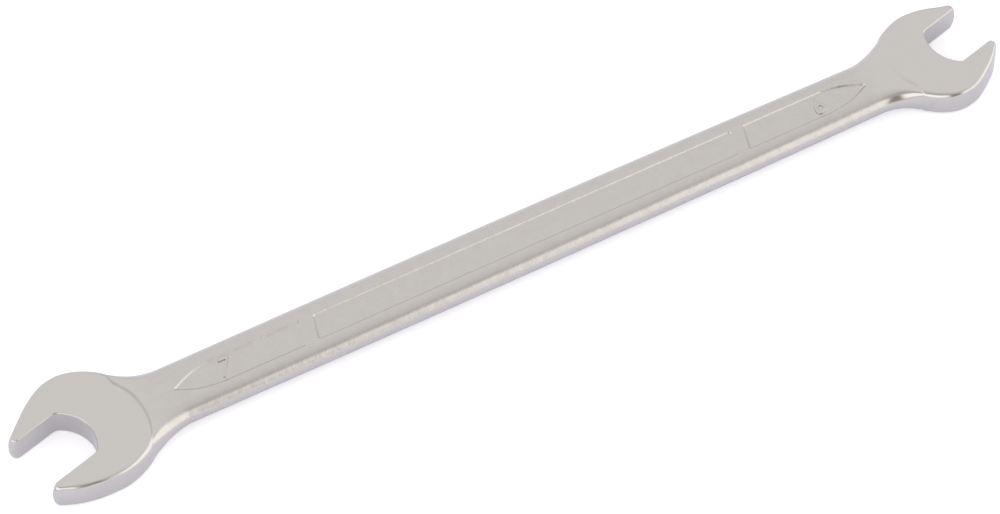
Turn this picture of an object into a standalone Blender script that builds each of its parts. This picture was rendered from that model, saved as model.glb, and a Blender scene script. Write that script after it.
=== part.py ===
"""Double open end wrench, 6 x 7 mm, forged in one piece and chrome plated.

The wrench lies flat: its length along X, its two flat faces facing up and down along Z, the 7 mm head
at -X and the 6 mm head at +X. Each head is a loft of its plan at several heights, with rounded edges and
blunt prongs. The shank is a loft of rounded sections that widens into both heads, and the sunken panels
are cut into both faces.
"""

import math
from collections import namedtuple

import bmesh
import bpy
from mathutils import Matrix, Vector

MM = 0.001

# Whole wrench
overall_length = 122.0 * MM
head_thickness = 3.3 * MM
jaw_angle = math.radians(15)

# Roundings between the heads' flat faces and their sides, round the outside and along the jaw, and how
# deep below a flat face the rounding of the prongs' blunt noses ends
outer_rim_radius = 0.35 * MM
jaw_rim_radius = 0.18 * MM
nose_depth = 1.5 * MM

# Shank
shank_thickness = 3.0 * MM
shank_width_at_large_head = 7.0 * MM
shank_width_at_small_head = 6.25 * MM
shank_swell = 0.65 * MM
shoulder_width = 2.0 * MM
shoulder_power = 3.2

# Necks, where the shank widens into the heads, more roundly on the leading prong's side. Shares are of
# the head's radius, and the shoulder's of the shank's shoulder.
neck_length_share = 0.7
leading_neck_curl = 1.8
trailing_neck_curl = 1.1
run_in_share = 0.655
neck_inset = 0.04 * MM
neck_shoulder_share = 0.3

# Sunken panels in the shank's two faces, whose middle line lies off the shank's by the shift
panel_depth = 0.15 * MM
panel_width = 3.2 * MM
panel_shift = -0.25 * MM
panel_gap = 1.6 * MM
panel_end_slant = math.radians(17)
panel_corner_radius = 0.2 * MM
panel_bulge_share = 0.71

# How far the panels' cutters stand out of the shank's faces, and how near two points are one
cut_overrun = 1.0 * MM
merge_distance = 0.001 * MM

# Each head: its jaw, its outer radius, how far from the head's centre its leading prong's cheek and flank
# reach, how far the two prongs reach along the jaw, the jaw's floor and its corners, the roundings of the
# tips in plan, how far back the rounding of each prong's nose starts on the flat face, how far from the
# head's centre the end panel comes to its point, how long that point is and how long the whole panel.
# The leading prong is the stout one.
Head = namedtuple(
    "Head",
    "jaw_width radius cheek_reach flank_reach leading_reach trailing_reach floor_offset floor_radius"
    " corner_radius leading_tip_radius trailing_tip_radius leading_nose trailing_nose"
    " panel_tip_distance panel_point_length panel_length",
)
large_head = Head(
    jaw_width=7.0 * MM,
    radius=7.5 * MM,
    cheek_reach=7.62 * MM,
    flank_reach=8.12 * MM,
    leading_reach=7.7 * MM,
    trailing_reach=6.98 * MM,
    floor_offset=-0.65 * MM,
    floor_radius=4.67 * MM,
    corner_radius=0.7 * MM,
    leading_tip_radius=0.55 * MM,
    trailing_tip_radius=0.55 * MM,
    leading_nose=0.6 * MM,
    trailing_nose=0.4 * MM,
    panel_tip_distance=11.1 * MM,
    panel_point_length=5.0 * MM,
    panel_length=15.7 * MM,
)
small_head = Head(
    jaw_width=6.0 * MM,
    radius=6.42 * MM,
    cheek_reach=6.26 * MM,
    flank_reach=6.6 * MM,
    leading_reach=6.05 * MM,
    trailing_reach=5.55 * MM,
    floor_offset=-0.45 * MM,
    floor_radius=4.5 * MM,
    corner_radius=0.6 * MM,
    leading_tip_radius=0.42 * MM,
    trailing_tip_radius=0.5 * MM,
    leading_nose=0.85 * MM,
    trailing_nose=0.35 * MM,
    panel_tip_distance=9.8 * MM,
    panel_point_length=5.2 * MM,
    panel_length=15.4 * MM,
)

# The head's outer edge, from the leading prong round the back to the trailing prong: the direction from
# the jaw's axis in degrees, and the distance from the head's centre as a share of its radius.
outline_shares = (
    (74, 1.0),
    (90, 1.018),
    (106, 1.042),
    (122, 1.075),
    (137, 1.03),
    (152, 0.968),
    (168, 0.93),
    (184, 0.92),
    (198, 0.93),
    (208, 0.958),
    (217, 1.044),
    (227, 1.045),
    (239, 1.05),
    (252, 1.038),
    (268, 1.0),
    (288, 0.95),
    (308, 0.974),
)
# Where the tips' roundings meet the outer edge, and the directions of the flank and the cheek from the
# head's centre, as angles from the jaw's axis
leading_tip_turn = math.radians(42)
flank_turn = math.radians(46)
cheek_turn = math.radians(60)
trailing_tip_turn = math.radians(47)

curve_steps = 4
tip_steps = 6
corner_steps = 4
floor_steps = 10
shoulder_steps = 7
neck_steps = 14
swell_steps = 6
rim_step_share = 0.3
nose_step_shares = (0.45, 0.75)


def new_object(name, mesh, collection):
    made = bpy.data.objects.new(name, mesh)
    collection.objects.link(made)
    return made


def towards(turn, distance):
    return Vector((math.cos(turn), math.sin(turn))) * distance


def arc(centre, radius, start, end, steps):
    """Points from one angle to another round a centre, both ends included."""
    return [centre + towards(start + (end - start) * step / steps, radius) for step in range(steps + 1)]


def smooth_through(points, steps):
    """A Catmull-Rom curve through the points, which are about evenly spaced."""
    before = 2 * points[0] - points[1]
    after = 2 * points[-1] - points[-2]
    run = [before, *points, after]
    made = []
    for a, b, c, d in zip(run, run[1:], run[2:], run[3:]):
        for step in range(steps):
            t = step / steps
            square = (2 * a - 5 * b + 4 * c - d) * t**2
            cube = (3 * b - a - 3 * c + d) * t**3
            made.append(0.5 * (2 * b + (c - a) * t + square + cube))
    return [*made, points[-1]]


def head_outline(head):
    """The head in plan, with its jaw, centred on the head and with +X away from the shank."""
    half_jaw = head.jaw_width / 2
    leading_centre = Vector((head.leading_reach - head.leading_tip_radius, half_jaw + head.leading_tip_radius))
    trailing_centre = Vector(
        (head.trailing_reach - head.trailing_tip_radius, -half_jaw - head.trailing_tip_radius)
    )
    leading_tip = arc(leading_centre, head.leading_tip_radius, -math.pi / 2, leading_tip_turn, tip_steps)
    trailing_tip = arc(trailing_centre, head.trailing_tip_radius, -trailing_tip_turn, math.pi / 2, tip_steps)
    flank = towards(flank_turn, head.flank_reach)
    cheek = towards(cheek_turn, head.cheek_reach)
    outer = [towards(math.radians(turn), share * head.radius) for turn, share in outline_shares]
    outer_edge = smooth_through([leading_tip[-1], flank, cheek, *outer, trailing_tip[0]], curve_steps)

    floor_centre = Vector((head.floor_offset + head.floor_radius, 0))
    across = half_jaw - head.corner_radius
    along = math.sqrt((head.floor_radius - head.corner_radius) ** 2 - across**2)
    corner_turn = math.pi - math.atan2(across, along)
    upper_centre = floor_centre + Vector((-along, across))
    lower_centre = floor_centre + Vector((-along, -across))
    lower_corner = arc(lower_centre, head.corner_radius, -math.pi / 2, -corner_turn, corner_steps)
    floor = arc(floor_centre, head.floor_radius, 2 * math.pi - corner_turn, corner_turn, floor_steps)
    upper_corner = arc(upper_centre, head.corner_radius, corner_turn, math.pi / 2, corner_steps)

    throat = [*lower_corner, *floor[1:-1], *upper_corner]
    points = [*leading_tip[:-1], *outer_edge, *trailing_tip[1:], *throat]
    turned = Matrix.Rotation(jaw_angle, 2)
    return [turned @ point for point in points]


def rounding(depth, length, full_depth):
    """How far a rounded edge stands back at a depth below the flat face."""
    if depth >= full_depth:
        return 0.0
    return length * (1 - math.sqrt(1 - (1 - depth / full_depth) ** 2))


def head_at(head, depth):
    """The head's sizes at a depth below its flat face, where its rounded edges stand back."""
    outer = rounding(depth, outer_rim_radius, outer_rim_radius)
    jaw = rounding(depth, jaw_rim_radius, jaw_rim_radius)
    leading = rounding(depth, head.leading_nose, nose_depth)
    trailing = rounding(depth, head.trailing_nose, nose_depth)
    return head._replace(
        jaw_width=head.jaw_width + 2 * jaw,
        radius=head.radius - outer,
        cheek_reach=head.cheek_reach - outer,
        flank_reach=head.flank_reach - (outer + leading) / 2,
        leading_reach=head.leading_reach - leading,
        trailing_reach=head.trailing_reach - trailing,
        floor_offset=head.floor_offset - jaw,
        floor_radius=head.floor_radius + jaw,
        corner_radius=head.corner_radius + jaw,
        leading_tip_radius=head.leading_tip_radius - jaw,
        trailing_tip_radius=head.trailing_tip_radius - jaw,
    )


def head_depths():
    """The depths below the flat face at which the head's plan is drawn, down to its middle."""
    depths = [0, outer_rim_radius * rim_step_share, outer_rim_radius]
    depths += [jaw_rim_radius * rim_step_share, jaw_rim_radius]
    depths += [nose_depth * share for share in nose_step_shares]
    return sorted(depth for depth in depths if depth < head_thickness / 2)


def edge_at(outline, x, side):
    """How far the outline reaches at x, towards +Y (side 1) or -Y (side -1)."""
    reaches = []
    for a, b in zip(outline, outline[1:] + outline[:1]):
        if a.x != b.x and min(a.x, b.x) <= x <= max(a.x, b.x):
            y = a.y + (b.y - a.y) * (x - a.x) / (b.x - a.x)
            reaches.append(side * y)
    return max(reaches)


large_outline = head_outline(large_head)
small_outline = head_outline(small_head)
large_centre = max(point.x for point in large_outline) - overall_length / 2
small_centre = overall_length / 2 - max(point.x for point in small_outline)
ends = (
    (large_head, large_outline, large_centre, -1),
    (small_head, small_outline, small_centre, 1),
)


def along_shank(x):
    """0 at the large head's centre, 1 at the small head's."""
    return (x - large_centre) / (small_centre - large_centre)


def shank_half_width(x):
    """Half the shank's width at x without its necks: an even taper and a slight swell at mid-length."""
    share = along_shank(x)
    taper = shank_width_at_large_head + (shank_width_at_small_head - shank_width_at_large_head) * share
    return (taper + shank_swell * 4 * share * (1 - share)) / 2


def shank_side(x, side):
    """The shank's reach from its middle line at x, and how far into a neck this is, from 0 to 1."""
    reach = shank_half_width(x)
    for head, outline, centre, outward in ends:
        run_in = head.radius * run_in_share
        length = head.radius * neck_length_share
        into = (run_in + length - (centre - x) * outward) / length
        if into > 0:
            edge = edge_at(outline, -run_in, side * outward) - neck_inset
            growth = edge - shank_half_width(centre - outward * run_in)
            into = min(into, 1)
            curl = leading_neck_curl if side == outward else trailing_neck_curl
            return reach + growth * into**2 * (1 + curl * (1 - into)), into
    return reach, 0.0


def shank_stations():
    """Places along X of the shank's sections, close together in the necks."""
    stations = []
    for head, _, centre, outward in ends:
        for step in range(neck_steps + 1):
            distance = head.radius * (run_in_share + neck_length_share * step / neck_steps)
            stations.append(centre - outward * distance)
    first, last = stations[neck_steps], stations[-1]
    for step in range(1, swell_steps):
        stations.append(first + (last - first) * step / swell_steps)
    return sorted(stations)


def shank_section(x):
    """The rounded section at x, counter-clockwise seen from +X and flat on top and below."""
    half_height = shank_thickness / 2
    quarter = [(1.0, 0.0)]
    for step in range(1, shoulder_steps):
        turn = math.pi / 2 * step / shoulder_steps
        quarter.append((math.cos(turn) ** (2 / shoulder_power), math.sin(turn) ** (2 / shoulder_power)))
    quarter.append((0.0, 1.0))
    points = []
    for side in (1, -1):
        reach, neck_share = shank_side(x, side)
        shoulder = shoulder_width * (1 - neck_share * (1 - neck_shoulder_share))
        upper = [(side * (reach - shoulder + shoulder * out), half_height * up) for out, up in quarter]
        lower = [(y, -z) for y, z in upper]
        half = lower[:0:-1] + upper
        points += half if side == 1 else half[::-1]
    return [Vector((x, y, z)) for y, z in points]


def loft(name, rings, collection):
    """A closed mesh through rings that have the same number of points, with flat ends."""
    mesh = bmesh.new()
    loops = [[mesh.verts.new(point) for point in ring] for ring in rings]
    for loop, following in zip(loops, loops[1:]):
        for index in range(len(loop)):
            mesh.faces.new((loop[index - 1], loop[index], following[index], following[index - 1]))
    mesh.faces.new(loops[0])
    mesh.faces.new(loops[-1])
    bmesh.ops.recalc_face_normals(mesh, faces=mesh.faces)
    data = bpy.data.meshes.new(name)
    mesh.to_mesh(data)
    mesh.free()
    return new_object(name, data, collection)


def make_head(name, head, centre, outward, collection):
    """A head, lofted through its plans from the lower flat face to the upper one."""
    half = head_thickness / 2
    depths = head_depths()
    levels = [(depth, depth - half) for depth in depths] + [(depth, half - depth) for depth in depths[::-1]]
    rings = []
    for depth, z in levels:
        plan = head_outline(head_at(head, depth))
        rings.append([Vector((centre + outward * point.x, outward * point.y, z)) for point in plan])
    return loft(name, rings, collection)


def plate(name, outline, thickness, collection):
    """A closed mesh of an outline in plan, given its thickness about Z = 0."""
    curve = bpy.data.curves.new(name, "CURVE")
    curve.dimensions = "2D"
    curve.fill_mode = "BOTH"
    curve.extrude = thickness / 2
    spline = curve.splines.new("POLY")
    spline.points.add(len(outline) - 1)
    for point, place in zip(spline.points, outline):
        point.co = (place.x, place.y, 0, 1)
    spline.use_cyclic_u = True
    flat = new_object(name + "_outline", curve, collection)
    graph = bpy.context.evaluated_depsgraph_get()
    data = bpy.data.meshes.new_from_object(flat.evaluated_get(graph))
    bpy.data.objects.remove(flat)
    mesh = bmesh.new()
    mesh.from_mesh(data)
    bmesh.ops.remove_doubles(mesh, verts=mesh.verts, dist=merge_distance)
    bmesh.ops.recalc_face_normals(mesh, faces=mesh.faces)
    for up in (True, False):
        cap = [face for face in mesh.faces if abs(face.normal.z) > 0.5 and (face.normal.z > 0) == up]
        bmesh.ops.dissolve_faces(mesh, faces=cap)
    mesh.to_mesh(data)
    mesh.free()
    return new_object(name, data, collection)


def combine(thing, other, operation):
    step = thing.modifiers.new(other.name, "BOOLEAN")
    step.operation = operation
    step.object = other
    step.solver = "EXACT"


def rounded_corners(corners, radius, steps):
    """The outline, counter-clockwise, with each of its corners rounded to the radius."""
    made = []
    for before, corner, after in zip(corners[-1:] + corners[:-1], corners, corners[1:] + corners[:1]):
        into = (before - corner).normalized()
        out = (after - corner).normalized()
        half = into.angle(out) / 2
        centre = corner + (into + out).normalized() * radius / math.sin(half)
        start = corner + into * radius / math.tan(half) - centre
        first = math.atan2(start.y, start.x)
        made += arc(centre, radius, first, first + math.pi - 2 * half, steps)
    return made


def on_panel(x, across_share):
    """The point at x on the panels' middle line, or off it by a share of their half width."""
    return Vector((x, panel_shift + across_share * panel_width / 2))


def slanted_end(x):
    """The lower and the upper corner of a panel's slanted end, whose middle is at x."""
    lean = panel_width / 2 * math.tan(panel_end_slant)
    return on_panel(x - lean, -1), on_panel(x + lean, 1)


def panel_end(head, centre, outward):
    """Where the panel beside a head ends, away from the head."""
    return centre - outward * (head.panel_tip_distance + head.panel_length)


def end_panel(head, centre, outward):
    """The outline of the panel beside a head: slanted at its end and pointed towards the head."""
    low, high = slanted_end(panel_end(head, centre, outward))
    tip = centre - outward * head.panel_tip_distance
    shoulder = tip - outward * head.panel_point_length
    bulge = (tip + shoulder) / 2
    lower, upper = (
        smooth_through(
            [on_panel(shoulder, side), on_panel(bulge, side * panel_bulge_share), on_panel(tip, 0)],
            curve_steps,
        )
        for side in (-1, 1)
    )
    outline = [low, *lower, *upper[-2::-1], high]
    return outline if outward > 0 else outline[::-1]


def panel_outlines():
    """The three panels in plan: the middle one and the one beside each head."""
    left = panel_end(large_head, large_centre, -1) + panel_gap
    right = panel_end(small_head, small_centre, 1) - panel_gap
    left_low, left_high = slanted_end(left)
    right_low, right_high = slanted_end(right)
    corners = [left_low, right_low, right_high, left_high]
    return [
        rounded_corners(corners, panel_corner_radius, corner_steps),
        end_panel(large_head, large_centre, -1),
        end_panel(small_head, small_centre, 1),
    ]


for old in list(bpy.data.objects):
    bpy.data.objects.remove(old)

wrench = bpy.data.collections.new("open_end_wrench")
tools = bpy.data.collections.new("shapes_and_cutters")
for made in (wrench, tools):
    bpy.context.scene.collection.children.link(made)

body = loft("wrench_body", [shank_section(x) for x in shank_stations()], wrench)

for name, (head, _, centre, outward) in zip(("large_head", "small_head"), ends):
    combine(body, make_head(name, head, centre, outward, tools), "UNION")

panel_floor = shank_thickness / 2 - panel_depth
for index, outline in enumerate(panel_outlines()):
    for face, side in (("top", 1), ("bottom", -1)):
        cutter = plate(f"panel_cutter_{face}_{index}", outline, cut_overrun, tools)
        cutter.data.transform(Matrix.Translation((0, 0, side * (panel_floor + cut_overrun / 2))))
        combine(body, cutter, "DIFFERENCE")

for helper in tools.objects:
    helper.hide_render = True
    helper.display_type = "WIRE"

chrome = bpy.data.materials.new("satin_chrome")
chrome.use_nodes = True
shader = chrome.node_tree.nodes["Principled BSDF"]
shader.inputs["Base Color"].default_value = (0.72, 0.70, 0.68, 1)
shader.inputs["Metallic"].default_value = 1.0
shader.inputs["Roughness"].default_value = 0.28
body.data.materials.append(chrome)

# The wrench rests on its lower faces, at Z = 0
body.location.z = head_thickness / 2
for helper in tools.objects:
    helper.location.z = head_thickness / 2
body.data.shade_smooth()
body.data.set_sharp_from_angle(angle=math.radians(35))
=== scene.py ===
"""The looks of an open end wrench, 6 x 7 mm, forged in one piece and chrome plated.

It lies flat on a pale table. The wrench runs along X with its 7 mm head at -X, and rests at Z = 0.
"""

import math
from collections import namedtuple

import bmesh
import bpy
from mathutils import Matrix, Vector


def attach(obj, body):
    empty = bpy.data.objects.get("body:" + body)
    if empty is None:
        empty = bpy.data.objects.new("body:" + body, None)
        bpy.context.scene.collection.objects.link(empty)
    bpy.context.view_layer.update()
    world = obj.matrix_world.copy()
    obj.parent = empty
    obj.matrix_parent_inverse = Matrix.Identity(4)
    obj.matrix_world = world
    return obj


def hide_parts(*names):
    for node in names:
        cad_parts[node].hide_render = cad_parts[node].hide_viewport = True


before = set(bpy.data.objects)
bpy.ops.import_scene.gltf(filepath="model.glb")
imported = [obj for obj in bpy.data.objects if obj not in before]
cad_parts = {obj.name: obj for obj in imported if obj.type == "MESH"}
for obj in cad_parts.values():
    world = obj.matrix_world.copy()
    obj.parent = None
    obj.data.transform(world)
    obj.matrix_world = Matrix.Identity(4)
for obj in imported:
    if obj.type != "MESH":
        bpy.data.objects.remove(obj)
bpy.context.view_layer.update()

# Camera
# It looks down on the wrench from its 6 mm end, from far off, through a long lens, so that the wrench
# runs from the lower left of the picture to the upper right.
MM = 0.001
view_azimuth = math.radians(-27.95)
view_elevation = math.radians(52.69)
view_roll = math.radians(0.96)
view_distance = 700 * MM
view_aim = Vector((-1.513, 0.49, 0)) * MM
focal_length = 227.58
film_width = 36.0
nearest_seen = 0.01
furthest_seen = 10

camera_data = bpy.data.cameras.new("camera")
camera_data.lens = focal_length
camera_data.sensor_width = film_width
camera_data.clip_start = nearest_seen
camera_data.clip_end = furthest_seen
camera = bpy.data.objects.new("camera", camera_data)
bpy.context.scene.collection.objects.link(camera)
view_turn = Matrix.Rotation(view_azimuth, 3, "Z") @ Matrix.Rotation(math.pi / 2 - view_elevation, 3, "X")
view_turn = view_turn @ Matrix.Rotation(-view_roll, 3, "Z")
camera.matrix_world = Matrix.Translation(view_aim + view_turn.col[2] * view_distance) @ view_turn.to_4x4()
bpy.context.scene.camera = camera

# Table
# A plain matt board, faintly cool, that the wrench lies on. It is white to the camera and bright in the
# chrome, and it keeps the wrench's soft shadow. Its top is a hair below the wrench's lower faces, so that no
# two faces share one plane.
table_size = 3.0
table_top = -0.01 * MM
table_colour = (0.8, 0.8, 0.84, 1)
table_roughness = 0.9
table_glow_to_camera = 0.42
table_glow_in_chrome = 0.27
table_tint_to_camera = (1, 1, 1, 1)
table_tint_in_chrome = (0.72, 0.76, 1.0, 1)


def new_object(name, data):
    made = bpy.data.objects.new(name, data)
    bpy.context.scene.collection.objects.link(made)
    return made


def modelled(name, shape):
    """An object made of the bmesh, with its faces pointing outwards."""
    bmesh.ops.recalc_face_normals(shape, faces=shape.faces)
    data = bpy.data.meshes.new(name)
    shape.to_mesh(data)
    shape.free()
    return new_object(name, data)


# The helpers for paint work on whichever material or room is in hand: nodes and links are its own.
def feed(socket, value):
    """Sets the socket to a number or a colour, or joins another node's output to it."""
    if isinstance(value, bpy.types.NodeSocket):
        links.new(value, socket)
    else:
        socket.default_value = value


def maths(operation, *values):
    """A Math node on numbers or on other nodes' outputs. It gives back its own output."""
    node = nodes.new("ShaderNodeMath")
    node.operation = operation
    for socket, value in zip(node.inputs, values):
        feed(socket, value)
    return node.outputs[0]


def mixed(share, first, second):
    """A colour that goes from the first to the second with the share."""
    node = nodes.new("ShaderNodeMix")
    node.data_type = "RGBA"
    feed(node.inputs["Factor"], share)
    feed(node.inputs["A"], first)
    feed(node.inputs["B"], second)
    return node.outputs["Result"]


board = bmesh.new()
bmesh.ops.create_grid(board, size=table_size / 2, matrix=Matrix.Translation((0, 0, table_top)))
table = modelled("table", board)

table_paint = bpy.data.materials.new("table_board")
table_paint.use_nodes = True
nodes, links = table_paint.node_tree.nodes, table_paint.node_tree.links
shader = nodes["Principled BSDF"]
shader.inputs["Base Color"].default_value = table_colour
shader.inputs["Roughness"].default_value = table_roughness
seen_by = nodes.new("ShaderNodeLightPath")
tint = mixed(seen_by.outputs["Is Glossy Ray"], table_tint_to_camera, table_tint_in_chrome)
feed(shader.inputs["Emission Color"], tint)
to_camera = maths("MULTIPLY", seen_by.outputs["Is Camera Ray"], table_glow_to_camera)
in_chrome = maths("MULTIPLY", seen_by.outputs["Is Glossy Ray"], table_glow_in_chrome)
feed(shader.inputs["Emission Strength"], maths("ADD", to_camera, in_chrome))
table.data.materials.append(table_paint)

# Studio light
# A white room with a darker strip of ceiling lights the wrench softly. A broad warm box of light stands in
# front on the right and a white one on the left. The gap between them and the right back corner are darker.
room_front = Vector((math.sin(view_azimuth), -math.cos(view_azimuth), 0))
# The room's light from its front edge, over the ceiling, to its back edge: angle in degrees and colour
room_light = (
    (0, (0.88, 0.87, 0.86)),
    (52, (0.8, 0.78, 0.76)),
    (60, (0.62, 0.6, 0.58)),
    (72, (0.62, 0.6, 0.58)),
    (88, (0.88, 0.87, 0.85)),
    (120, (1.0, 1.0, 1.0)),
    (150, (1.0, 1.0, 1.0)),
    (180, (0.95, 0.95, 0.95)),
)
# Each box of light or dark patch: its colour, the direction of its middle, anticlockwise from +X, half
# its width, the height of its lower and upper edge, and how softly it fades, all in degrees
Patch = namedtuple("Patch", "colour middle half_width low high softness")
room_patches = (
    Patch((0.78, 0.77, 0.76), 36, 24, -4, 38, 8),
    Patch((0.36, 0.33, 0.3), -91, 14, 10, 54, 4),
    Patch((1.52, 1.51, 1.46), -33, 43, -6, 49, 5),
    Patch((1.6, 1.6, 1.62), -158, 50, 14, 52, 5),
)

room = bpy.data.worlds.new("studio")
bpy.context.scene.world = room
room.use_nodes = True
nodes, links = room.node_tree.nodes, room.node_tree.links
background = nodes["Background"]
background.inputs["Strength"].default_value = 1.0
direction = nodes.new("ShaderNodeTexCoord").outputs["Generated"]


def along(axis):
    """How far a direction in the room points along an axis, from -1 to 1."""
    node = nodes.new("ShaderNodeVectorMath")
    node.operation = "DOT_PRODUCT"
    feed(node.inputs[0], direction)
    feed(node.inputs[1], axis)
    return node.outputs["Value"]


def fade(value, start, full):
    """0 at the start, 1 where it is full, smooth in between."""
    node = nodes.new("ShaderNodeMapRange")
    node.interpolation_type = "SMOOTHSTEP"
    feed(node.inputs["Value"], value)
    feed(node.inputs["From Min"], min(start, full))
    feed(node.inputs["From Max"], max(start, full))
    feed(node.inputs["To Min"], 0.0 if start < full else 1.0)
    feed(node.inputs["To Max"], 1.0 if start < full else 0.0)
    return node.outputs["Result"]


def sine(degrees):
    return math.sin(math.radians(degrees))


def cosine(degrees):
    return math.cos(math.radians(degrees))


# How far a direction points up, how far it points level, and how far over the ceiling it has come
up = along(Vector((0, 0, 1)))
level = maths("SQRT", maths("SUBTRACT", 1, maths("MULTIPLY", up, up)))
over = maths("ARCTAN2", up, along(room_front))
ramp = nodes.new("ShaderNodeValToRGB")
while len(ramp.color_ramp.elements) < len(room_light):
    ramp.color_ramp.elements.new(1.0)
for element, (angle, colour) in zip(ramp.color_ramp.elements, room_light):
    element.position = angle / room_light[-1][0]
    element.color = (*colour, 1)
feed(ramp.inputs["Fac"], maths("DIVIDE", over, math.pi))
room_colour = ramp.outputs["Color"]

for patch in room_patches:
    middle = Vector((cosine(patch.middle), sine(patch.middle), 0))
    facing = maths("DIVIDE", along(middle), level)
    start = cosine(patch.half_width + patch.softness)
    full = cosine(patch.half_width - patch.softness)
    beside = fade(facing, start, full)
    above = fade(up, sine(patch.low - patch.softness), sine(patch.low + patch.softness))
    below = fade(up, sine(patch.high + patch.softness), sine(patch.high - patch.softness))
    mask = maths("MULTIPLY", beside, maths("MULTIPLY", above, below))
    room_colour = mixed(mask, room_colour, (*patch.colour, 1))
feed(background.inputs["Color"], room_colour)

# Heads
# The two forged heads, 7 mm at -X and 6 mm at +X. Each is drawn in plan at one depth after another below
# its flat ground face, so that its edges are round, its prongs' noses blunt, and its face runs down on to
# the shank in a soft step.
overall_length = 122.0 * MM
head_thickness = 3.3 * MM
shank_thickness = 3.0 * MM
jaw_angle = math.radians(15)
outer_rim_radius = 0.42 * MM
jaw_rim_radius = 0.18 * MM
nose_depth = 1.5 * MM

# A head's leading prong is the one that its jaw turns towards. Its reaches are measured from its centre, its
# noses say how far each prong's blunt nose stands back on the flat face, and its depth is the one below the
# flat face at which it is drawn. Its outline goes from the leading prong round the back to the trailing
# prong: degrees from the jaw's axis, and the distance from the centre as a share of the radius.
Head = namedtuple(
    "Head",
    "jaw_width radius cheek_reach flank_reach leading_reach trailing_reach floor_offset floor_radius"
    " corner_radius leading_tip_radius trailing_tip_radius leading_nose trailing_nose"
    " panel_tip_distance panel_point_length panel_length outline depth",
)
large_head = Head(
    jaw_width=7.0 * MM,
    radius=7.5 * MM,
    cheek_reach=7.62 * MM,
    flank_reach=8.12 * MM,
    leading_reach=7.7 * MM,
    trailing_reach=6.98 * MM,
    floor_offset=-0.65 * MM,
    floor_radius=4.67 * MM,
    corner_radius=1.2 * MM,
    leading_tip_radius=0.55 * MM,
    trailing_tip_radius=0.55 * MM,
    leading_nose=0.85 * MM,
    trailing_nose=0.62 * MM,
    panel_tip_distance=11.1 * MM,
    panel_point_length=5.0 * MM,
    panel_length=15.7 * MM,
    outline=(
        (74, 1.0),
        (90, 1.022),
        (106, 1.052),
        (122, 1.085),
        (137, 1.03),
        (152, 0.965),
        (168, 0.93),
        (184, 0.92),
        (198, 0.93),
        (208, 1.028),
        (217, 1.042),
        (227, 1.046),
        (239, 1.045),
        (252, 1.034),
        (268, 0.995),
        (288, 0.945),
        (308, 0.955),
    ),
    depth=head_thickness / 2,
)
small_head = Head(
    jaw_width=6.0 * MM,
    radius=6.42 * MM,
    cheek_reach=6.26 * MM,
    flank_reach=6.54 * MM,
    leading_reach=6.05 * MM,
    trailing_reach=5.55 * MM,
    floor_offset=-0.45 * MM,
    floor_radius=4.5 * MM,
    corner_radius=0.6 * MM,
    leading_tip_radius=0.5 * MM,
    trailing_tip_radius=0.5 * MM,
    leading_nose=0.85 * MM,
    trailing_nose=0.35 * MM,
    panel_tip_distance=9.8 * MM,
    panel_point_length=5.2 * MM,
    panel_length=15.4 * MM,
    outline=(
        (74, 0.985),
        (90, 1.02),
        (106, 1.058),
        (122, 1.1),
        (137, 1.05),
        (152, 0.98),
        (168, 0.93),
        (184, 0.925),
        (198, 0.94),
        (208, 1.055),
        (217, 1.067),
        (227, 1.07),
        (239, 1.07),
        (252, 1.05),
        (268, 1.012),
        (288, 0.955),
        (308, 0.974),
    ),
    depth=head_thickness / 2,
)

# Turns from the jaw's axis: to the ends of the tips' roundings, and to the leading prong's flank and cheek
leading_tip_turn = math.radians(42)
flank_turn = math.radians(46)
cheek_turn = math.radians(60)
trailing_tip_turn = math.radians(47)

# The rounded edge is fuller where the necks run into the head: how much fuller, and where
full_rim_radius = 0.78 * MM
full_rim_turns = (120, 218)
full_rim_fade = 42

# The soft step at the neck: where it is, how far round it fades out, how far back from the outer edge it
# starts on the head's face, how far out it reaches on the shank, and its depth, a little below the shank
neck_step_turn = 168
neck_step_fade = 44
neck_step_back = 0.5 * MM
neck_step_out = 0.36 * MM
neck_step_depth = 0.16 * MM

# The depths below the flat face at which each head is drawn, down to its middle
rim_depths = (0, 0.006, 0.015, 0.03, 0.053, 0.083, 0.112, 0.135, 0.15, 0.16, 0.175, 0.21, 0.26, 0.35)
wall_depths = (0.43, 0.52, 0.64, 0.78, 1.0, 1.25, 1.65)
drawn_depths = [depth * MM for depth in rim_depths + wall_depths]
merge_distance = 0.001 * MM
curve_steps = 9
tip_steps = 12
corner_steps = 8
throat_steps = 26


def towards(turn, distance):
    """The point at a distance in a direction."""
    return Vector((math.cos(turn), math.sin(turn))) * distance


def arc(centre, radius, start, end, steps):
    """Points from one angle to another round a centre, both ends included."""
    return [centre + towards(start + (end - start) * step / steps, radius) for step in range(steps + 1)]


def smooth_through(points, steps):
    """A smooth curve through the points, which are about evenly spaced."""
    run = [2 * points[0] - points[1], *points, 2 * points[-1] - points[-2]]
    made = []
    for a, b, c, d in zip(run, run[1:], run[2:], run[3:]):
        for step in range(steps):
            t = step / steps
            square = (2 * a - 5 * b + 4 * c - d) * t**2
            cube = (3 * b - a - 3 * c + d) * t**3
            made.append(0.5 * (2 * b + (c - a) * t + square + cube))
    return [*made, points[-1]]


def nearness(turn, middle, reach):
    """1 at the middle, falling smoothly to 0 at the reach on either side of it."""
    return (1 + math.cos(math.pi * min(abs(turn - middle) / reach, 1))) / 2


def rounding(depth, length, full_depth):
    """How far a rounded edge stands back at a depth below the flat face."""
    if depth >= full_depth:
        return 0.0
    return length * (1 - math.sqrt(1 - (1 - depth / full_depth) ** 2))


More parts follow.
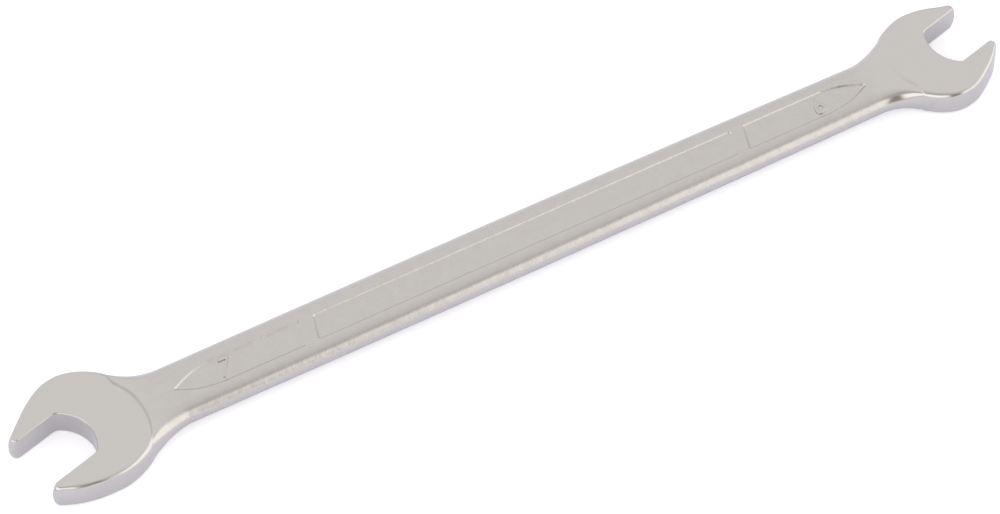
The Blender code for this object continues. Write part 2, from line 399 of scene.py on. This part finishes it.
def rim_setback(turn, depth):
    """How far the outer edge stands back at a depth: a round rim, and the soft step at the neck."""
    fullness = max(nearness(turn, full_turn, full_rim_fade) for full_turn in full_rim_turns)
    rim = outer_rim_radius + (full_rim_radius - outer_rim_radius) * fullness
    setback = rounding(depth, rim, rim)
    if depth > neck_step_depth:
        return setback
    down = math.acos(1 - 2 * depth / neck_step_depth) / math.pi
    step = neck_step_back - (neck_step_back + neck_step_out) * down
    return setback + (step - setback) * nearness(turn, neck_step_turn, neck_step_fade)


def head_plan(head):
    """The head in plan, with its jaw, centred on the head and with +X away from the shank."""
    half_jaw = head.jaw_width / 2
    leading = Vector((head.leading_reach - head.leading_tip_radius, half_jaw + head.leading_tip_radius))
    trailing = Vector((head.trailing_reach - head.trailing_tip_radius, -half_jaw - head.trailing_tip_radius))
    leading_tip = arc(leading, head.leading_tip_radius, -math.pi / 2, leading_tip_turn, tip_steps)
    trailing_tip = arc(trailing, head.trailing_tip_radius, -trailing_tip_turn, math.pi / 2, tip_steps)
    outer = [towards(flank_turn, head.flank_reach), towards(cheek_turn, head.cheek_reach)]
    for turn, share in head.outline:
        distance = share * head.radius - rim_setback(turn, head.depth)
        outer.append(towards(math.radians(turn), distance))
    outer_edge = smooth_through([leading_tip[-1], *outer, trailing_tip[0]], curve_steps)

    throat_centre = Vector((head.floor_offset + head.floor_radius, 0))
    across_throat = half_jaw - head.corner_radius
    along_throat = math.sqrt((head.floor_radius - head.corner_radius) ** 2 - across_throat**2)
    corner_turn = math.pi - math.atan2(across_throat, along_throat)
    upper = throat_centre + Vector((-along_throat, across_throat))
    lower = throat_centre + Vector((-along_throat, -across_throat))
    lower_corner = arc(lower, head.corner_radius, -math.pi / 2, -corner_turn, corner_steps)
    throat = arc(throat_centre, head.floor_radius, 2 * math.pi - corner_turn, corner_turn, throat_steps)
    upper_corner = arc(upper, head.corner_radius, corner_turn, math.pi / 2, corner_steps)

    jaw = [*lower_corner, *throat[1:-1], *upper_corner]
    points = [*leading_tip[:-1], *outer_edge, *trailing_tip[1:], *jaw]
    turned = Matrix.Rotation(jaw_angle, 2)
    return [turned @ point for point in points]


def head_at(head, depth):
    """The head's sizes at a depth below its flat face, where its rounded edges stand back."""
    outer = rounding(depth, outer_rim_radius, outer_rim_radius)
    jaw = rounding(depth, jaw_rim_radius, jaw_rim_radius)
    leading = rounding(depth, head.leading_nose, nose_depth)
    trailing = rounding(depth, head.trailing_nose, nose_depth)
    return head._replace(
        jaw_width=head.jaw_width + 2 * jaw,
        cheek_reach=head.cheek_reach - outer,
        flank_reach=head.flank_reach - (outer + leading) / 2,
        leading_reach=head.leading_reach - leading,
        trailing_reach=head.trailing_reach - trailing,
        floor_offset=head.floor_offset - jaw,
        floor_radius=head.floor_radius + jaw,
        corner_radius=head.corner_radius + jaw,
        leading_tip_radius=head.leading_tip_radius - jaw,
        trailing_tip_radius=head.trailing_tip_radius - jaw,
        depth=depth,
    )


def drawn_out(rings):
    """A shape drawn out of its first outline, by raising its end face from ring to ring."""
    shape = bmesh.new()
    first = [shape.verts.new(point) for point in rings[0]]
    end = shape.faces.new(first)
    for ring in rings[1:]:
        end = bmesh.ops.extrude_discrete_faces(shape, faces=[end])["faces"][0]
        for corner, point in zip(end.loops, ring):
            corner.vert.co = point
    return shape


large_plan = head_plan(large_head)
small_plan = head_plan(small_head)
large_centre = max(point.x for point in large_plan) - overall_length / 2
small_centre = overall_length / 2 - max(point.x for point in small_plan)
ends = (
    (large_head, large_plan, large_centre, -1),
    (small_head, small_plan, small_centre, 1),
)


def forged_head(name, head, centre, outward):
    """The upper half, drawn from the middle up to the flat face, and the lower half, its mirror image."""
    rings = []
    for depth in drawn_depths[::-1]:
        plan = head_plan(head_at(head, depth))
        height = head_thickness / 2 - depth
        rings.append([Vector((centre + outward * point.x, outward * point.y, height)) for point in plan])
    shape = drawn_out(rings)
    everything = shape.verts[:] + shape.edges[:] + shape.faces[:]
    bmesh.ops.mirror(shape, geom=everything, matrix=Matrix(), merge_dist=merge_distance, axis="Z")
    return modelled(name, shape)


heads = []
for name, (head, _, centre, outward) in zip(("large_head", "small_head"), ends):
    heads.append(forged_head(name, head, centre, outward))

# Shank
# The forged bar between the heads: flat above and below, with round shoulders, a slight swell at
# mid-length, and necks that leave each head along its own edge and curl into the bar.
shank_width_at_large_head = 7.56 * MM
shank_width_at_small_head = 6.66 * MM
shank_shift = -0.05 * MM
shank_swell = 0.65 * MM
shoulder_width = 2.0 * MM
shoulder_power = 2.1
# Each neck leaves its head at a share of the head's radius from the centre, a little outside the head's edge,
# and its length is a share of the radius too. Its shoulders are narrower at the head. The bar's root goes on
# into the head, out of sight.
run_in_share = 0.655
neck_overlap = 0.06 * MM
neck_length_share = 0.84
least_neck_curl = 1.5
neck_shoulder_share = 0.36
root_length = 0.8 * MM
root_inset = 0.25 * MM
slope_step = 0.2 * MM
shoulder_steps = 18
neck_steps = 36
swell_steps = 40


def edge_at(outline, x, side):
    """How far the outline reaches at x, towards +Y (side 1) or -Y (side -1)."""
    reaches = []
    for a, b in zip(outline, outline[1:] + outline[:1]):
        if a.x != b.x and min(a.x, b.x) <= x <= max(a.x, b.x):
            reaches.append(side * (a.y + (b.y - a.y) * (x - a.x) / (b.x - a.x)))
    return max(reaches)


# Where each neck leaves its head: how far out, and how much the head's own edge runs in over the slope step
neck_starts = {}
for head, plan, _, outward in ends:
    run_in = head.radius * run_in_share
    for side in (1, -1):
        edge = edge_at(plan, -run_in, side * outward)
        further = edge_at(plan, -run_in - slope_step, side * outward)
        neck_starts[outward, side] = (edge + neck_overlap, further - edge)


def shank_half_width(x):
    """Half the shank's width at x without its necks: an even taper and a slight swell at mid-length."""
    share = (x - large_centre) / (small_centre - large_centre)
    taper = shank_width_at_large_head + (shank_width_at_small_head - shank_width_at_large_head) * share
    return (taper + shank_swell * 4 * share * (1 - share)) / 2


def shank_side(x, side):
    """The shank's reach from its middle line at x, and how far into a neck this is, from 0 to 1."""
    reach = shank_half_width(x) + side * shank_shift
    for head, _, centre, outward in ends:
        run_in = head.radius * run_in_share
        length = head.radius * neck_length_share
        out = ((centre - x) * outward - run_in) / length
        if out < 0:
            return neck_starts[outward, side][0] - root_inset * min(-out * length / root_length, 1), 1.0
        if out < 1:
            start, run = neck_starts[outward, side]
            curl = max(-run / slope_step * length / (start - reach), least_neck_curl)
            return reach + (start - reach) * (1 - out) ** curl, (1 - out) ** 2 * (1 + 2 * out)
    return reach, 0.0


def shank_section(x):
    """The rounded section at x, counter-clockwise seen from +X and flat on top and below."""
    half_height = shank_thickness / 2
    quarter = [(1.0, 0.0)]
    for step in range(1, shoulder_steps):
        turn = math.pi / 2 * step / shoulder_steps
        quarter.append((math.cos(turn) ** (2 / shoulder_power), math.sin(turn) ** (2 / shoulder_power)))
    quarter.append((0.0, 1.0))
    points = []
    for side in (1, -1):
        reach, into_neck = shank_side(x, side)
        shoulder = shoulder_width * (1 - into_neck**2 * (1 - neck_shoulder_share))
        upper = [(side * (reach - shoulder + shoulder * out), half_height * up) for out, up in quarter]
        half = [(y, -z) for y, z in upper[:0:-1]] + upper
        points += half if side == 1 else half[::-1]
    return [Vector((x, y, z)) for y, z in points]


stations = []
for head, _, centre, outward in ends:
    for step in range(neck_steps + 1):
        distance = head.radius * (run_in_share + neck_length_share * step / neck_steps)
        stations.append(centre - outward * distance)
first_neck_end, last_neck_end = stations[neck_steps], stations[-1]
for head, _, centre, outward in ends:
    stations.append(centre - outward * (head.radius * run_in_share - root_length))
for step in range(1, swell_steps):
    stations.append(first_neck_end + (last_neck_end - first_neck_end) * step / swell_steps)


def closed(shape):
    """The drawn out shape with a face over the open end that it starts with."""
    bmesh.ops.holes_fill(shape, edges=[edge for edge in shape.edges if edge.is_boundary], sides=0)
    return shape


bar = closed(drawn_out([shank_section(x) for x in sorted(stations)]))
wrench = modelled("open_end_wrench", bar)


def forge(thing, other, operation):
    """Joins the other shape to the thing, or sinks it into the thing."""
    step = thing.modifiers.new(other.name, "BOOLEAN")
    step.operation = operation
    step.object = other
    step.solver = "EXACT"


for head in heads:
    forge(wrench, head, "UNION")

# Sunken panels
# Three shallow panels pressed into each face by the forging die: a plain one in the middle, and one
# beside each head that comes to a point. Their walls slope and are rounded above and below, so that the
# die comes free.
panel_depth = 0.15 * MM
panel_width = 3.2 * MM
panel_shift = -0.25 * MM
panel_gap = 1.6 * MM
panel_end_slant = math.radians(17)
panel_corner_radius = 0.3 * MM
panel_point_radius = 0.16 * MM
panel_point_steps = 5
panel_point_overrun = 0.2 * MM
panel_bulge_share = 0.71
# The walls of the middle panel, of the one beside the 7 mm head and of the one beside the 6 mm head
panel_wall_slopes = (math.radians(41), math.radians(36.5), math.radians(42))
panel_wall_rounding = 0.06 * MM
panel_wall_steps = 4
die_overrun = 1.0 * MM
# A point of an outline is no corner, but lies on a curve, where half its angle is more than this
half_flat_angle = math.radians(80)


def rounded(corners, radius, steps):
    """The outline, counter-clockwise, with its sharp corners rounded to the radius."""
    made = []
    for before, corner, after in zip(corners[-1:] + corners[:-1], corners, corners[1:] + corners[:1]):
        into = (before - corner).normalized()
        out = (after - corner).normalized()
        half = into.angle(out) / 2
        if half > half_flat_angle:
            made.append(corner)
            continue
        centre = corner + (into + out).normalized() * radius / math.sin(half)
        start = corner + into * radius / math.tan(half) - centre
        first = math.atan2(start.y, start.x)
        made += arc(centre, radius, first, first + math.pi - 2 * half, steps)
    return made


def widened(outline, distance):
    """The outline, counter-clockwise, moved outwards by the distance."""
    made = []
    for before, point, after in zip(outline[-1:] + outline[:-1], outline, outline[1:] + outline[:1]):
        first = Vector(((point - before).y, -(point - before).x)).normalized()
        second = Vector(((after - point).y, -(after - point).x)).normalized()
        normal = (first + second).normalized()
        made.append(point + normal * distance / normal.dot(first))
    return made


def on_panel(x, across_share):
    """The point at x on the panels' middle line, or off it by a share of their half width."""
    return Vector((x, panel_shift + across_share * panel_width / 2))


def slanted_end(x):
    """The lower and the upper corner of a panel's slanted end, whose middle is at x."""
    lean = panel_width / 2 * math.tan(panel_end_slant)
    return on_panel(x - lean, -1), on_panel(x + lean, 1)


def end_panel(head, centre, outward):
    """The outline of the panel beside a head: slanted at its end and pointed towards the head."""
    low, high = slanted_end(centre - outward * (head.panel_tip_distance + head.panel_length))
    tip = centre - outward * head.panel_tip_distance
    shoulder = tip - outward * head.panel_point_length
    tip += outward * panel_point_overrun
    bulge = (tip + shoulder) / 2
    lower, upper = (
        smooth_through(
            [on_panel(shoulder, side), on_panel(bulge, side * panel_bulge_share), on_panel(tip, 0)],
            panel_point_steps,
        )
        for side in (-1, 1)
    )
    outline = [low, *lower, *upper[-2::-1], high]
    return outline if outward > 0 else outline[::-1]


def wall_profile(slope):
    """The sloping wall from the shank's face down to the panel's floor: depths, and outward distances."""
    rounded_drop = panel_wall_rounding * (1 - math.cos(slope))
    rounded_run = panel_wall_rounding * math.sin(slope)
    straight_run = (panel_depth - 2 * rounded_drop) / math.tan(slope)
    half_run = rounded_run + straight_run / 2
    above = []
    for step in range(panel_wall_steps + 1):
        turn = slope * step / panel_wall_steps
        drop = panel_wall_rounding * (1 - math.cos(turn))
        above.append((drop, half_run - panel_wall_rounding * math.sin(turn)))
    below = [(panel_depth - drop, -out) for drop, out in above[::-1]]
    return above + below


left = large_centre + large_head.panel_tip_distance + large_head.panel_length + panel_gap
right = small_centre - small_head.panel_tip_distance - small_head.panel_length - panel_gap
(left_low, left_high), (right_low, right_high) = slanted_end(left), slanted_end(right)
panel_outlines = [rounded([left_low, right_low, right_high, left_high], panel_corner_radius, corner_steps)]
for head, _, centre, outward in ends:
    pointed = end_panel(head, centre, outward)
    panel_outlines.append(rounded(pointed, panel_point_radius, corner_steps))

dies = []
for index, (outline, slope) in enumerate(zip(panel_outlines, panel_wall_slopes)):
    wall = wall_profile(slope)
    for name, side in (("top", 1), ("bottom", -1)):
        rings = []
        for depth, out in [(-die_overrun, wall[0][1]), *wall]:
            height = side * (shank_thickness / 2 - depth)
            rings.append([Vector((point.x, point.y, height)) for point in widened(outline, out)])
        dies.append(modelled(f"panel_die_{name}_{index}", closed(drawn_out(rings))))
        forge(wrench, dies[-1], "DIFFERENCE")

# Size numbers
# The plain sizes, 7 and 6, stand up a little from the floor of the panel beside each head. They are part
# of the forging and lean like the panels' ends.
number_height = 2.6 * MM
number_letter_share = 0.72
number_width_share = 0.86
number_slant = 0.3
number_rise = 0.15 * MM
number_edge = 0.06 * MM
number_edge_steps = 2
number_root = 0.05 * MM
number_middle = -0.3 * MM
number_places = (("7", -36.25 * MM), ("6", 38.6 * MM))

numbers = []
for figure, x in number_places:
    for name, side in (("top", 1), ("bottom", -1)):
        letters = bpy.data.curves.new("size_" + figure, "FONT")
        letters.body = figure
        letters.size = number_height / number_letter_share
        letters.shear = number_slant
        letters.align_x = "CENTER"
        letters.align_y = "CENTER"
        letters.extrude = (number_rise + number_root) / 2 - number_edge
        letters.bevel_depth = number_edge
        letters.offset = -number_edge
        letters.bevel_resolution = number_edge_steps
        pattern = new_object("size_" + figure, letters)
        graph = bpy.context.evaluated_depsgraph_get()
        data = bpy.data.meshes.new_from_object(pattern.evaluated_get(graph))
        bpy.data.objects.remove(pattern)
        number = bmesh.new()
        number.from_mesh(data)
        bmesh.ops.remove_doubles(number, verts=number.verts, dist=merge_distance)
        height = shank_thickness / 2 - panel_depth + (number_rise - number_root) / 2
        place = Matrix.Translation((x, number_middle, side * height))
        if side < 0:
            place = place @ Matrix.Rotation(math.pi, 4, "X")
        place = place @ Matrix.Diagonal((number_width_share, 1, 1, 1))
        bmesh.ops.transform(number, matrix=place, verts=number.verts)
        numbers.append(modelled(f"size_{figure}_{name}", number))
        forge(wrench, numbers[-1], "UNION")

# Forging
# Heads, bar, panels and numbers become the one piece of steel that the wrench is, resting on its lower
# faces, with smooth shading over its rounded edges.
sharp_from = math.radians(40)
large_face_weight = 90

graph = bpy.context.evaluated_depsgraph_get()
forged = bpy.data.meshes.new_from_object(wrench.evaluated_get(graph))
wrench.modifiers.clear()
wrench.data = forged
for helper in (*heads, *dies, *numbers):
    bpy.data.objects.remove(helper)
forged.transform(Matrix.Translation((0, 0, head_thickness / 2)))
forged.shade_smooth()
forged.set_sharp_from_angle(angle=sharp_from)
even_shading = wrench.modifiers.new("even_shading", "WEIGHTED_NORMAL")
even_shading.keep_sharp = True
even_shading.weight = large_face_weight

# Satin chrome
# Nickel and a thin chrome plating over the forging: smooth and even on the ground faces of the heads,
# with a fine forged grain and slight clouds along the shank.
chrome_colour = (0.585, 0.56, 0.54, 1)
chrome_cloud_colour = (0.54, 0.515, 0.495, 1)
head_roughness = 0.19
shank_roughness = 0.27
roughness_spread = 0.12
# The forged finish gives way to the ground finish of the heads between these distances from mid-length
ground_from = 43.5 * MM
ground_full = 47.5 * MM
grain_size = 0.16 * MM
cloud_size = 1.1 * MM
grain_rise = 0.005 * MM
cloud_rise = 0.026 * MM
ground_grain_share = 0.12

chrome = bpy.data.materials.new("satin_chrome_plating")
chrome.use_nodes = True
nodes, links = chrome.node_tree.nodes, chrome.node_tree.links
shader = nodes["Principled BSDF"]
shader.inputs["Metallic"].default_value = 1.0
spot = nodes.new("ShaderNodeTexCoord").outputs["Object"]
parts = nodes.new("ShaderNodeSeparateXYZ")
feed(parts.inputs[0], spot)
from_middle = maths("ABSOLUTE", parts.outputs["X"])
forged_share = fade(from_middle, ground_full, ground_from)


def cloudy(size, detail, roughness):
    """Soft noise with features of about a size, from 0 to 1."""
    node = nodes.new("ShaderNodeTexNoise")
    feed(node.inputs["Vector"], spot)
    feed(node.inputs["Scale"], 1 / size)
    feed(node.inputs["Detail"], detail)
    feed(node.inputs["Roughness"], roughness)
    return node.outputs["Fac"]


def between_values(share, low, high):
    """A number that goes from one value to another with the share."""
    node = nodes.new("ShaderNodeMapRange")
    feed(node.inputs["Value"], share)
    feed(node.inputs["To Min"], low)
    feed(node.inputs["To Max"], high)
    return node.outputs["Result"]


grain = cloudy(grain_size, detail=2.0, roughness=0.6)
clouds = cloudy(cloud_size, detail=3.0, roughness=0.55)
cloud_share = maths("MULTIPLY", clouds, forged_share)
feed(shader.inputs["Base Color"], mixed(cloud_share, chrome_colour, chrome_cloud_colour))

rough = between_values(forged_share, head_roughness, shank_roughness)
spread = maths("MULTIPLY", maths("SUBTRACT", clouds, 0.5), roughness_spread)
feed(shader.inputs["Roughness"], maths("ADD", rough, spread))

strength = between_values(forged_share, ground_grain_share, 1.0)
relief = maths("MULTIPLY", grain, grain_rise)
relief = maths("ADD", relief, maths("MULTIPLY", clouds, cloud_rise))
relief = maths("MULTIPLY", relief, strength)
bump = nodes.new("ShaderNodeBump")
bump.inputs["Distance"].default_value = 1.0
bump.inputs["Strength"].default_value = 1.0
feed(bump.inputs["Height"], relief)
feed(shader.inputs["Normal"], bump.outputs["Normal"])
forged.materials.clear()
forged.materials.append(chrome)

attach(wrench, "root")
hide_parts("wrench_body")

# Picture
# Plain colours.
bpy.context.scene.view_settings.view_transform = "Standard"
